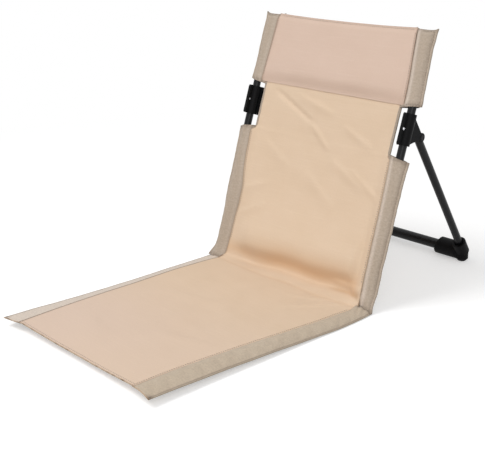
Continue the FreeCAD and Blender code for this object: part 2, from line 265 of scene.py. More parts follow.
def onBack(x, up, behind):
    # across, along the back from the crease, and square to it
    y = chair["creaseY"] + up * cosBack + behind * sinBack
    z = up * sinBack - behind * cosBack
    return np.stack(np.broadcast_arrays(x, y, z), -1)


def onSeat(x, ahead, z):
    return np.stack(np.broadcast_arrays(x, chair["creaseY"] - ahead, z), -1)


def ease(v, low, high):
    t = np.clip((v - low) / (high - low), 0, 1)
    return t * t * (3 - 2 * t)


def bell(v, width):
    return np.exp(-(v / width) ** 2)


def through(v, stops):
    # a smooth run through (place, value) stops, level at each
    at, value = np.array(stops, float).T
    i = np.clip(np.searchsorted(at, v, side="right") - 1, 0, len(at) - 2)
    return value[i] + (value[i + 1] - value[i]) * ease(v, at[i], at[i + 1])


def along(v, stops):
    # a smooth line through (place, value) stops
    at, value = np.array(stops, float).T
    slope = np.gradient(value, at)
    i = np.clip(np.searchsorted(at, v, side="right") - 1, 0, len(at) - 2)
    wide = at[i + 1] - at[i]
    s = np.clip((v - at[i]) / wide, 0, 1)
    return (value[i] * (1 + 2 * s) * (1 - s) ** 2 + value[i + 1] * s * s * (3 - 2 * s)
            + wide * s * (1 - s) * (slope[i] * (1 - s) - slope[i + 1] * s))


def uneven(x, v, size, seed, count=6):
    # cloth is never quite flat: waves of about this size in all directions, within -1 and 1
    rng = np.random.default_rng(seed)
    total = 0
    for _ in range(count):
        way, length, phase = rng.uniform(0, math.pi), size * rng.uniform(0.6, 1.7), rng.random()
        total = total + np.sin(2 * math.pi * ((x * math.cos(way) + v * math.sin(way)) / length + phase))
    return total / count


def foldHeight(x, v, fold):
    # a wrinkle along a line, highest at its middle, steeper on one side
    (x0, v0), (x1, v1), width, height = fold
    length = math.hypot(x1 - x0, v1 - v0)
    run = ((x - x0) * (x1 - x0) + (v - v0) * (v1 - v0)) / length ** 2
    off = ((x - x0) * (v1 - v0) - (v - v0) * (x1 - x0)) / length
    fade = np.clip(1 - np.abs(2 * run - 1) ** 3, 0, 1)
    return height * fade * bell(off, np.where(off > 0, width, 0.5 * width))


def gridNormals(points):
    normal = np.cross(np.gradient(points, axis=1), np.gradient(points, axis=0))
    return normal / np.linalg.norm(normal, axis=-1, keepdims=True)


def columnsAcross(count):
    # from -1 to 1, closer together at the sides
    bend = 1.25
    return np.sin(np.linspace(-bend, bend, count)) / math.sin(bend)


def ringSteps(count):
    return np.linspace(0, 2 * math.pi, count + 1)[:-1]


def addTone(piece, name, values, under=1.0):
    # a shade for the material on the cloth's outer face, and a share of it on the inner one
    shade = piece.data.attributes.new(name, "FLOAT", "POINT")
    values = np.clip(values, 0, 1).ravel()
    shade.data.foreach_set("value", np.concatenate([values, under * values]).astype(np.float32))


def clothMesh(name, outer, inner, u, v, seam, material, around=False):
    # the two faces of one cloth as grids (along, across), joined along their edges
    rows, cols = outer.shape[:2]
    count, wide = rows * cols, u.shape[1]
    spans = cols if around else cols - 1
    r, c = np.meshgrid(np.arange(rows - 1), np.arange(spans), indexing="ij")
    n = (c + 1) % cols
    quads = np.stack([r * cols + c, r * cols + n, (r + 1) * cols + n, (r + 1) * cols + c], -1).reshape(-1, 4)
    spot = r * wide + c
    spots = np.stack([spot, spot + 1, spot + wide + 1, spot + wide], -1).reshape(-1, 4)
    edges = [((row * cols + c[0], row * cols + n[0]), (row * wide + c[0], row * wide + c[0] + 1))
             for row in (0, rows - 1)]
    if not around:
        first = r[:, 0]
        edges += [((first * cols + col, (first + 1) * cols + col), (first * wide + col, (first + 1) * wide + col))
                  for col in (0, cols - 1)]
    faces = [quads, quads[:, ::-1] + count]
    corners = [spots, spots[:, ::-1]]
    for (a, b), (ua, ub) in edges:
        faces.append(np.stack([a, b, b + count, a + count], -1))
        corners.append(np.stack([ua, ub, ub, ua], -1))
    faces, corners = np.concatenate(faces), np.concatenate(corners)
    mesh = bpy.data.meshes.new(name)
    mesh.from_pydata(np.concatenate([outer.reshape(-1, 3), inner.reshape(-1, 3)]).tolist(), [], faces.tolist())
    layer = mesh.uv_layers.new(name="clothUV")
    flat = np.stack([np.broadcast_to(u, v.shape).ravel(), v.ravel()], -1)
    layer.data.foreach_set("uv", flat[corners.ravel()].astype(np.float32).ravel())
    bm = bmesh.new()
    bm.from_mesh(mesh)
    bmesh.ops.recalc_face_normals(bm, faces=bm.faces)
    bm.to_mesh(mesh)
    bm.free()
    mesh.polygons.foreach_set("use_smooth", np.ones(len(mesh.polygons), bool))
    mesh.set_sharp_from_angle(angle=math.radians(60))
    mesh.materials.append(material)
    obj = bpy.data.objects.new(name, mesh)
    scene.collection.objects.link(obj)
    addTone(obj, "seam", seam)
    return obj


stitchLines = {"backrest": [], "seat": []}  # filled by the pieces below
frontEdge = {}
sewing = {"fromEdge": 0.003, "panelHalf": 0.165, "overPanel": 0.0002, "overStrip": 0.0003}


def sewnColumn(q, side):
    # the column of a panel that its side seam runs along
    return np.argmin(np.abs((1 - side * q[0]) * sewing["panelHalf"] - sewing["fromEdge"]))


# the sewn lines are neither straight nor alike: (along, across) stops, along is negative on the seat
seams = {
    "clothRight": [(-0.466, 0.148), (-0.4, 0.1495), (-0.3, 0.157), (-0.241, 0.163), (-0.15, 0.173),
                   (-0.108, 0.1765), (-0.06, 0.178), (0, 0.1808), (0.016, 0.1805), (0.05, 0.1778),
                   (0.115, 0.1757), (0.21, 0.1722), (0.262, 0.1685)],
    "clothLeft": [(-0.471, 0.156), (-0.385, 0.1615), (-0.296, 0.1635), (-0.212, 0.163), (-0.14, 0.164),
                  (-0.09, 0.1645), (-0.048, 0.1665), (-0.02, 0.165), (0, 0.1634), (0.03, 0.1606),
                  (0.05, 0.16), (0.09, 0.1592), (0.12, 0.1586), (0.145, 0.1588), (0.175, 0.1628),
                  (0.207, 0.1664), (0.2385, 0.1672), (0.262, 0.1676)],
    "bandRight": [(0, 0.2105), (0.05, 0.2115), (0.095, 0.2105), (0.137, 0.207), (0.204, 0.203), (0.275, 0.199),
                  (0.344, 0.1953), (0.4, 0.193), (0.466, 0.1905)],
    "bandLeft": [(0, 0.195), (0.063, 0.1965), (0.11, 0.1985), (0.184, 0.199), (0.27, 0.197), (0.4, 0.1955),
                 (0.466, 0.1935)],
    "highRight": [(0, 0.0078), (0.04, 0.008), (0.07, 0.009), (0.108, 0.0105), (0.15, 0.012), (0.241, 0.014),
                  (0.344, 0.0157), (0.466, 0.018)],
    "highLeft": [(0, 0.0078), (0.05, 0.0105), (0.1, 0.0135), (0.24, 0.0155), (0.4, 0.0175), (0.466, 0.0185)],
    "headRight": [(0.3555, 0.1712), (0.4, 0.1684), (0.44, 0.163), (0.4885, 0.157)],
    "headLeft": [(0.3555, 0.1693), (0.42, 0.1665), (0.4885, 0.1643)]}

# sleeves: a strip folded round the tube and sewn flat along its outer edge, open beside the brackets
sleeves = {"inner": 0.153, "edge": 0.001, "full": 0.0086, "wall": 0.0007, "crest": 0.184, "lipFrom": 0.9,
           "lipThick": 0.0006, "endFull": 0.0095, "wrap": 0.084, "columns": 25, "rowLong": 0.0042, "sewnAt": 0.93,
           "coverFrom": 0.15, "cover": 0.0098, "layer": 0.0006,
           "edgeShade": {"Right": 0.12, "Left": 0.35}, "tintAndHighlight": {"Right": 0.85, "Left": 0.2}, "highlightAt": 0.0058,
           "lower": {"low": 0.0, "high": 0.2625, "slant": 0.0085, "tuck": 0.0048, "lipTone": 0.22, "forwards": 0.0085,
                     "right": [(0, 0.211), (0.014, 0.208), (0.05, 0.2056), (0.15, 0.2044), (0.235, 0.2042),
                               (0.2625, 0.2058)],
                     "left": [(0, 0.201), (0.012, 0.1985), (0.03, 0.1975), (0.12, 0.1984), (0.235, 0.1998),
                              (0.2625, 0.2015)]},
           "upper": {"low": 0.3555, "high": 0.4885, "tuck": 0.0026, "lipTone": 0.05,
                     "right": [(0.3555, 0.2032), (0.38, 0.2017), (0.43, 0.1988), (0.454, 0.1976), (0.48, 0.1979),
                               (0.4885, 0.199)],
                     "left": [(0.3555, 0.2), (0.38, 0.1986), (0.44, 0.199), (0.48, 0.198), (0.4885, 0.1988)]}}


def overSleeve(x):
    # how far cloth that is sewn on top of a sleeve stands in front of the back's plane
    s = sleeves
    return s["layer"] + s["cover"] * ease(np.abs(x), s["coverFrom"], s["crest"] - 0.001)


# main cloth: one length from the front hem over the padded seat, through the crease and up the back
# (place, value) stops, folds are ((across, along), (across, along), width, height)
mainCloth = {
    "gapHalf": 0.1606, "gapFrom": 0.2615, "front": 0.468, "top": 0.366, "backThick": 0.0018,
    "lift": 0.008, "liftFrom": 0.313, "liftTo": 0.474, "bow": 0.0035, "columns": 117, "floorGap": 0.0004,
    "calmFrom": -0.068, "calmTo": 0.118, "calmRounds": 6, "sewnFlat": (0.33, 0.352), "seatGap": 0.0006,
    "heldRight": (0.14, 0.162), "heldLeft": (0.105, 0.168), "turnUp": 0.0008, "turnDown": 0.0012,
    "seatSewnTo": -0.034, "backSewnFrom": 0.046,
    "dip": [(0, 0.0006), (0.1, 0.0014), (0.3, 0.0016), (0.4, 0.0026), (0.468, 0.0055)],
    "rampFrom": [(-0.18, 0.016), (-0.05, 0.02), (0.03, 0.017), (0.11, 0.021), (0.15, 0.018), (0.18, 0.011)],
    "valleyUp": [(-0.18, 0.0115), (-0.14, 0.011), (-0.11, 0.0098), (-0.075, 0.01), (-0.05, 0.0125),
                 (-0.025, 0.0152), (0.004, 0.016), (0.07, 0.0155), (0.12, 0.02), (0.15, 0.019),
                 (0.18, 0.011)],
    # above the crease the slack cloth hangs forwards over a hollow, further up it gives a little
    "hang": [(0, 0.009), (0.01, 0.007), (0.034, -0.008), (0.048, -0.01), (0.082, -0.005), (0.13, 0),
             (0.18, 0.0024), (0.23, 0.0034), (0.28, 0.0028), (0.32, 0.0012), (0.345, 0.0003), (0.37, 0),
             (0.6, 0)],
    "sag": [(0, 0), (0.06, 0.003), (0.16, 0.007), (0.25, 0.005), (0.338, 0.0012), (0.352, 0.0004),
            (0.366, -0.0014)],
    # the painted shade in the hollow, where it runs out at the sides, and the tucked corner's own; a paler tint towards
    # the front
    "hollowAt": 0.016, "toneRight": (0.156, 0.18), "toneLeft": (0.158, 0.17), "paleRight": (0.05, 0.14),
    "paleLeft": (0.02, 0.1), "thinLeft": (0.08, 0.15),
    "tuck": {"from": (0.088, 0.13), "to": (0.172, 0.181), "wide": 0.006, "hollowShade": 0.5, "seam": 0.28},
    "tintAndHighlight": {"most": 0.9, "ahead": (0.1, 0.4), "rightLess": 0.45},
    "hollowShade": [(-0.045, 0), (-0.02, 0.05), (-0.002, 0.35), (0.016, 1), (0.032, 0.55), (0.05, 0.1), (0.066, 0),
               (0.5, 0)],
    # how dark the side seams are drawn, the sewn line with painted shade beside it, and how wide: left and right
    "seatSeam": {"deep": (1.0, 0.15), "line": (0.0034, 0.0012)},
    "backSeam": {"deep": (0.6, 0.25), "line": (0.0014, 0.0014)},
    "folds": [((-0.016, 0.289), (-0.134, 0.345), 0.0065, -0.0036), ((-0.036, 0.302), (0.026, 0.252), 0.007, 0.003),
              ((-0.075, 0.343), (0.026, 0.318), 0.009, 0.0022), ((0.046, 0.303), (0.122, 0.27), 0.009, 0.0022),
              ((0.03, 0.241), (0.126, 0.194), 0.01, 0.0022), ((0.08, 0.23), (0.164, 0.187), 0.008, 0.002),
              ((-0.163, 0.09), (-0.09, 0.13), 0.01, 0.0018), ((-0.161, 0.145), (-0.098, 0.17), 0.01, 0.0014),
              ((-0.14, 0.25), (-0.06, 0.205), 0.012, 0.0016), ((-0.02, 0.205), (0.07, 0.15), 0.014, 0.0018),
              ((0.1, 0.03), (0.182, 0.031), 0.01, 0.0022), ((0.165, -0.004), (0.09, -0.112), 0.012, 0.0017),
              ((0.155, -0.006), (0.06, -0.06), 0.01, 0.0013), ((-0.09, -0.205), (0.04, -0.175), 0.02, 0.001),
              ((0.02, -0.33), (0.135, -0.3), 0.018, 0.0011), ((-0.13, -0.36), (-0.01, -0.395), 0.02, 0.001)]}


def seatLift(ahead):
    s = mainCloth
    return s["lift"] * np.clip((ahead - s["liftFrom"]) / (s["liftTo"] - s["liftFrom"]), 0, 1) ** 1.2


def mainClothRows(s):
    # closer together at the crease and where the sleeves end
    gap = s["gapFrom"]
    spans = [(-s["front"], -0.07, 104), (-0.07, 0.12, 96), (0.12, gap - 0.004, 58), (gap - 0.004, gap + 0.01, 9),
             (gap + 0.01, s["top"], 42)]
    return np.concatenate([np.linspace(low, high, count, endpoint=False) for low, high, count in spans] + [[s["top"]]])


def makeMainCloth(s):
    gap = s["gapFrom"]
    rows = mainClothRows(s)
    t, q = np.meshgrid(rows, columnsAcross(s["columns"]), indexing="ij")
    half = np.where(q > 0, along(t, seams["clothRight"]), along(t, seams["clothLeft"]))
    half = half + 0.0007 * uneven(0.0, t, 0.035, 12) * ease(t, 0.03, 0.06)
    half = half + (s["gapHalf"] - half) * ease(t, gap - 0.002, gap + 0.005)
    x = q * half
    inner = 1 - q ** 2
    rampFrom = along(x, s["rampFrom"])
    valleyUp = along(x, s["valleyUp"])
    ahead = np.maximum(-t, 0)
    ahead = ahead - s["bow"] * inner * ease(ahead, 0.3, s["front"])  # the front edge is drawn back in the middle
    rightShare = ease(q, -1, 1)
    high = along(ahead, seams["highLeft"]) * (1 - rightShare) + along(ahead, seams["highRight"]) * rightShare
    high = high - inner * along(ahead, s["dip"])

    # seat, ramp and back meet in the crease
    seat = onSeat(x, ahead, high)
    held = (1 - ease(x, *s["heldRight"])) * (1 - ease(-x, *s["heldLeft"]))  # the sleeves hold the sides
    edge = overSleeve(x)
    inSleeve = 1 - ease(t, gap, gap + 0.012)
    hang = along(t - valleyUp, s["hang"]) * held
    back = onBack(x, t, hang + through(t, s["sag"]) * inner - edge * inSleeve)
    valley = onBack(x, valleyUp, s["hang"][0][1] * held - edge)
    start = onSeat(x, rampFrom, high)
    way = np.clip((t + rampFrom) / (valleyUp + rampFrom), 0, 1)[..., None]
    ramp = start + (valley - start) * way
    points = np.where((t < -rampFrom)[..., None], seat, np.where((t > valleyUp)[..., None], back, ramp))
    near = ((rows > s["calmFrom"]) & (rows < s["calmTo"]))[1:-1, None, None]
    for _ in range(s["calmRounds"]):
        calm = (points[:-2] + 2 * points[1:-1] + points[2:]) / 4
        points[1:-1] = np.where(near, calm, points[1:-1])

    # small relief: waves, puckered seams, folds, the turn at the crease and at the seat's side seams
    rise = 0.001 * uneven(x, t, 0.13, 5) * inner + 0.0004 * uneven(x, t, 0.045, 8) * inner
    rise = rise * (1 - ease(t, *s["sewnFlat"]))  # flat where the headrest is sewn on
    rise = rise + 0.0005 * uneven(x, t, 0.022, 17, 9) * ease(np.abs(q), 0.82, 0.97) * ease(t, 0.05, 0.08)
    for fold in s["folds"]:
        rise = rise + foldHeight(x, t, fold)
    rise = rise - s["turnUp"] * bell(t + rampFrom, 0.006)
    rise = rise - s["turnDown"] * ease(np.abs(q), 0.965, 1.0) * ease(-t, 0, 0.03)
    points = points + gridNormals(points) * rise[..., None]
    normal = gridNormals(points)
    padded = points[..., 2] - seatLift(ahead) - s["seatGap"]
    thinned = np.maximum(ease(t, -0.03, 0.02), ease(-t, s["front"] - 0.018, s["front"]))  # up the back and in front
    thick = padded + (s["backThick"] - padded) * thinned
    under = points - normal * thick[..., None]
    under[..., 2] = np.maximum(under[..., 2], s["floorGap"])

    # tones: sewn lines with painted shade, painted shade in the hollows, a paler tint towards the front
    line, deep = (np.where(t < 0, np.where(q < 0, *s["seatSeam"][k]), np.where(q < 0, *s["backSeam"][k]))
                  for k in ("line", "deep"))
    seam = deep * bell((1 - np.abs(q)) * half, line)
    toned = (1 - ease(x, *s["toneRight"])) * (1 - 0.5 * ease(-x, *s["paleLeft"])) * (1 - ease(-x, *s["toneLeft"]))
    thinner = 1 + 0.9 * ease(-x, *s["thinLeft"])
    # painted shade in the hollow above the crease, and a thin line of it where the seat turns up into the ramp
    hollowShade = along((t - valleyUp - s["hollowAt"]) * thinner + s["hollowAt"], s["hollowShade"])
    hollowShade = hollowShade * toned * (1 - 0.2 * ease(x, *s["paleRight"])) + 0.18 * bell(t + rampFrom, 0.007)
    tuckLine = 0.013 + 0.11 * (x - 0.108)  # painted shade in a second hollow where the right corner is tucked in
    tuck = s["tuck"]
    tucked = ease(x, *tuck["from"]) * (1 - ease(x, *tuck["to"])) * bell(t - tuckLine, tuck["wide"])
    hollowShade, seam = hollowShade + tuck["hollowShade"] * tucked, seam + tuck["seam"] * tucked

    threads = points + normal * sewing["overPanel"]
    for side in (1, -1):
        column = sewnColumn(q, side)
        stitchLines["seat"].append(threads[rows < s["seatSewnTo"], column])
        stitchLines["backrest"].append(threads[(rows > s["backSewnFrom"]) & (rows < gap - 0.006), column])
    stitchLines["seat"].append(threads[1, 4:-4])
    frontEdge["cloth"] = points[0]
    piece = clothMesh("mainCloth", points, under, x, t, np.clip(seam, 0, 0.9), sand)
    addTone(piece, "hollowShade", hollowShade)
    # a paler, cooler tint towards the seat's front, less on the right
    tintAndHighlight = s["tintAndHighlight"]
    addTone(piece, "tintAndHighlight", tintAndHighlight["most"] * ease(ahead, *tintAndHighlight["ahead"]) * (1 - tintAndHighlight["rightLess"] * rightShare))
    return piece


cloth = makeMainCloth(mainCloth)
print("main cloth", len(cloth.data.polygons))


# headrest: doubled cloth, its lower edge a soft fold that lies on the back
headrest = {"low": 0.356, "full": 0.0078, "fullAt": 0.386, "high": 0.489, "topSag": 0.003, "edgeShare": 0.16,
            "foldRows": 12, "rows": 30, "columns": 65, "sideShare": 0.06, "layer": 0.0008, "rearFull": 0.0026,
            "highPart": [(0.386, 1), (0.44, 0.55), (0.478, 0.4), (0.489, 0.1)],
            "sideSeam": (0.7, 0.4), "shadeAt": 0.364, "shade": 0.4}


def makeHeadrest(s):
    turn = np.linspace(0, math.pi / 2, s["foldRows"] + 1)[:-1]
    folded = s["fullAt"] - (s["fullAt"] - s["low"]) * np.cos(turn)
    up = np.concatenate([folded, np.linspace(s["fullAt"], s["high"], s["rows"])])
    up, q = np.meshgrid(up, columnsAcross(s["columns"]), indexing="ij")
    half = np.where(q > 0, along(up, seams["headRight"]), along(up, seams["headLeft"]))
    x = q * half
    inner = 1 - np.abs(q) ** 2.5
    lowPart = s["edgeShare"] + (1 - s["edgeShare"]) * ease(up, s["low"], s["fullAt"] - 0.004)
    part = np.where(up < s["fullAt"], lowPart, through(up, s["highPart"]))
    proud = s["full"] * part * (s["sideShare"] + (1 - s["sideShare"]) * inner ** 0.5)
    rise = (0.0006 * uneven(x, up, 0.1, 21) + 0.0003 * uneven(x, up, 0.04, 22)) * inner * ease(up, s["low"], 0.38)
    sagged = up - s["topSag"] * inner * ease(up, 0.42, s["high"])
    edge = overSleeve(x) * (1 - ease(up, 0.476, s["high"])) * ease(up, s["low"] - 0.01, s["low"] + 0.006)
    front = onBack(x, sagged, -proud - rise - edge + s["layer"] * inner)
    belly = np.sqrt(np.clip(np.sin(math.pi * (up - s["low"]) / (s["high"] - s["low"])), 0, 1))
    rear = onBack(x, sagged, s["layer"] + s["rearFull"] * inner * belly - edge * 0.9)
    threads = front + gridNormals(front) * sewing["overPanel"]
    for side in (1, -1):
        stitchLines["backrest"].append(threads[8:-3, sewnColumn(q, side)])
    stitchLines["backrest"].append(threads[-2, 3:-3])
    # the side seams drawn darker: the sewn line with painted shade beside it
    sideSeam = np.where(q < 0, *s["sideSeam"]) * bell((1 - np.abs(q)) * half, 0.0019)
    seam = np.maximum(sideSeam, 0.25 * bell(s["high"] - up, 0.003))
    piece = clothMesh("headrest", front, rear, x, up, seam, sandDouble)
    # painted shade along the lower fold
    addTone(piece, "hollowShade", s["shade"] * bell(up - s["shadeAt"], 0.0085))
    return piece


headrestPiece = makeHeadrest(headrest)
print("headrest", len(headrestPiece.data.polygons))


def lowerSleeveHang(s, side, up, q, face):
    # fullness, how far it is drawn forwards to the seat, and its slanting upper end
    full = through(up, [(0, 0.0036), (0.022, s["full"]), (0.235, s["full"]), (0.2625, s["endFull"])])
    if side > 0:
        foot = ease(q, 0.2, 1) * (1 - ease(up, 0, 0.04))
    else:
        foot = ease(q, -0.2, 0.6) * (1 - ease(up, 0, 0.022))
    shift = -s["lower"]["forwards"] * foot * np.where(face > 0, 0.25 + 0.75 * ease(q, 0.85, 1), 1)
    if side < 0:  # the sewn edge is turned back
        shift = shift + 0.003 * ease(q, 0.86, 1) * ease(up, 0.012, 0.035) * (1 - ease(up, 0.09, 0.16))
    return full, shift, s["lower"]["slant"] * (1 - q) * ease(up, 0.14, s["lower"]["high"])


def upperSleeveHang(s, up, q):
    # fullness, no shift, ears at both upper corners and a lower end cut at a slant
    low, high = s["upper"]["low"], s["upper"]["high"]
    full = through(up, [(low, s["endFull"]), (0.376, s["full"]), (0.481, s["full"]), (high, 0.0012)])
    lift = ease(up, 0.474, high) * (0.0034 * np.abs(2 * q - 1) ** 4 - 0.0016)
    return full, 0, lift + (0.0025 * q - 0.0055 * (1 - q)) * (1 - ease(up, low, 0.4))


def makeSleeve(s, kind, side, seed):
    span, hand, columns = s[kind], handOf[side], s["columns"]
    half = np.linspace(0, 1, columns)
    up, q = np.meshgrid(np.linspace(span["low"], span["high"], 1 + int((span["high"] - span["low"]) / s["rowLong"])),
                        np.concatenate([half, half[::-1]]), indexing="ij")
    face = np.broadcast_to(np.repeat([-1.0, 1.0], columns), up.shape)
    outer = along(up, span[hand.lower()]) + 0.0008 * uneven(0.0, up, 0.05, seed)
    outer = outer + 0.0008 * uneven(0.0, up, 0.018, seed + 5)
    wide = outer - s["inner"]
    if kind == "lower":
        full, shift, lift = lowerSleeveHang(s, side, up, q, face)
    else:
        full, shift, lift = upperSleeveHang(s, up, q)
    shift = shift + span["tuck"] * (1 - ease(q, 0, 0.3))  # the inner edge is tucked behind the cloth
    crest = (s["crest"] - s["inner"]) / wide
    out = np.clip((q - crest) / (s["lipFrom"] - crest), 0, 1)  # from the tube to the sewn lip
    fall = 0.72 * np.sqrt(1 - out ** 2) + 0.28 * (1 - out)
    swell = np.where(q < crest, ease(q, 0, crest), fall)
    slack = 0.17 * uneven(q * 0.04, up, 0.03, seed + 1) + 0.12 * uneven(q * 0.04, up, 0.012, seed + 2)
    halfThick = s["edge"] + (full - s["edge"]) * swell * (1 + np.abs(slack * ease(q, 0.45, 0.7)))
    halfThick = halfThick + s["lipThick"] * ease(q, s["lipFrom"] + 0.02, 0.97)  # the lip is folded over
    x = s["inner"] + wide * q
    wall = onBack(side * x, up + lift, face * halfThick + shift)
    thin = np.maximum(halfThick - s["wall"], 0.0002)
    lining = onBack(side * (s["inner"] + 0.0006 + (wide - 0.0012) * q), up + lift, face * thin + shift)
    for layer in (wall, lining):
        layer[..., 2] = np.maximum(layer[..., 2], 0.0006)
    fold = s["wrap"] / 2
    wrap = np.concatenate([np.linspace(0, fold, columns), np.linspace(fold, s["wrap"], columns), [s["wrap"] + 0.002]])
    u = np.broadcast_to(wrap, (up.shape[0], len(wrap)))
    v = np.broadcast_to(up[:, :1], u.shape)

    # tones: painted shade in the groove beside the lip and along the cloth's edge, dark sewn hems at both ends
    seam = span["lipTone"] * bell((q - s["lipFrom"] - 0.01) * 0.048, 0.0015)
    clothEdge = along(up, seams[("cloth" if kind == "lower" else "head") + hand])
    seam = seam + np.where(face < 0, s["edgeShade"][hand] * bell(x - clothEdge, 0.0014), 0)
    ends = np.minimum(up - span["low"], span["high"] - up)
    seam = seam + (0.45 + 0.6 * uneven(x, up, 0.006, seed + 6)) * bell(ends, 0.0048)
    beside = bell(x - clothEdge - s["highlightAt"], 0.0036) * (face < 0)  # a painted highlight on the strip's fold beside the cloth

    sewn = np.argmin(np.abs(half - s["sewnAt"]))
    threads = wall + gridNormals(wall) * side * sewing["overStrip"]
    for column in (sewn, 2 * columns - 1 - sewn):
        stitchLines["backrest"].append(threads[2:-2, column])
    for row in (1, -2):
        stitchLines["backrest"].append(threads[row, 12:sewn])
    piece = clothMesh(kind + "Sleeve" + hand, wall, lining, u, v, np.clip(seam, 0, 0.85), strip, around=True)
    addTone(piece, "tintAndHighlight", s["tintAndHighlight"][hand] * beside)
    return piece


sleevePieces = {}
for number, (kind, side) in enumerate([("upper", 1), ("upper", -1), ("lower", 1), ("lower", -1)]):
    sleevePieces[kind, side] = makeSleeve(sleeves, kind, side, 40 + 7 * number)
print("sleeves", len(sleevePieces))


# seat bands: padded strips that fall from the seat's seams to a thin sewn edge
bands = {"rear": 0.0066, "front": 0.468, "edge": 0.0007, "tuck": 0.003, "cornerTuck": 0.009, "sink": 0.0022,
         "sewnAt": 0.945, "bodyTo": 0.95, "thinnest": 0.0009, "frontThick": 0.0016, "tip": 0.006, "floorGap": 0.0005,
         "rearTo": 0.06, "rearRows": 20, "frontRows": 104, "columns": 31,
         "crownShare": {"Right": 1.0, "Left": 0.0}, "tintAndHighlight": {"Right": 0.0, "Left": 0.85},
         "fallPower": {"Right": 1.15, "Left": 1.0}, "seamTone": {"Right": 0.14, "Left": 0.9},
         "edgeHigh": {"Right": [(0, 0.0022), (0.06, 0.0022), (0.12, 0.0028), (0.24, 0.0075), (0.4, 0.012),
                                (0.466, 0.014)],
                      "Left": [(0, 0.0022), (0.1, 0.002), (0.2, 0.0026), (0.28, 0.0054), (0.35, 0.008),
                               (0.42, 0.012), (0.466, 0.0146)]},
         "crown": [(0, 0.002), (0.05, 0.0034), (0.24, 0.0036), (0.4, 0.003), (0.466, 0.0012)]}


# cloth simulation: the filling presses the strip up between its sewn edges, it was cut a little long
filling = {"pressure": 4.0, "frames": 20, "longer": 0.008, "tension": 12.0, "bending": 0.3, "mass": 0.2,
           "quality": 6, "reach": {"Right": 0.0014, "Left": 0.0006}}


def fillBand(piece, s, sewn, reach):
    group = piece.vertex_groups.new(name="sewn")
    group.add(sewn.tolist(), 1.0, "REPLACE")
    count = len(piece.data.vertices)
    before, after = np.empty(count * 3, np.float32), np.empty(count * 3, np.float32)
    piece.data.vertices.foreach_get("co", before)
    modifier = piece.modifiers.new("filling", "CLOTH")
    weave = modifier.settings
    weave.quality, weave.mass, weave.shrink_min = s["quality"], s["mass"], -s["longer"]
    weave.tension_stiffness = weave.compression_stiffness = s["tension"]
    weave.bending_stiffness = s["bending"]
    weave.use_pressure, weave.uniform_pressure_force = True, s["pressure"]
    weave.vertex_group_mass = "sewn"
    weave.effector_weights.gravity = 0
    modifier.collision_settings.use_collision = False
    modifier.point_cache.frame_start, modifier.point_cache.frame_end = 1, s["frames"]
    for number in range(1, s["frames"] + 1):
        scene.frame_set(number)
    settled = piece.evaluated_get(bpy.context.evaluated_depsgraph_get())
    settled.data.vertices.foreach_get("co", after)
    move = (after - before).reshape(-1, 3)
    far = np.linalg.norm(move, axis=1, keepdims=True)
    capped = move * (reach * np.tanh(far / reach) / np.maximum(far, 1e-9))
    piece.modifiers.remove(modifier)
    piece.vertex_groups.clear()
    piece.data.vertices.foreach_set("co", (before.reshape(-1, 3) + capped).ravel().astype(np.float32))
    piece.data.update()
    scene.frame_set(1)
    print(piece.name, "filled, moved up to %.1f mm" % (1000 * np.linalg.norm(capped, axis=1).max()))


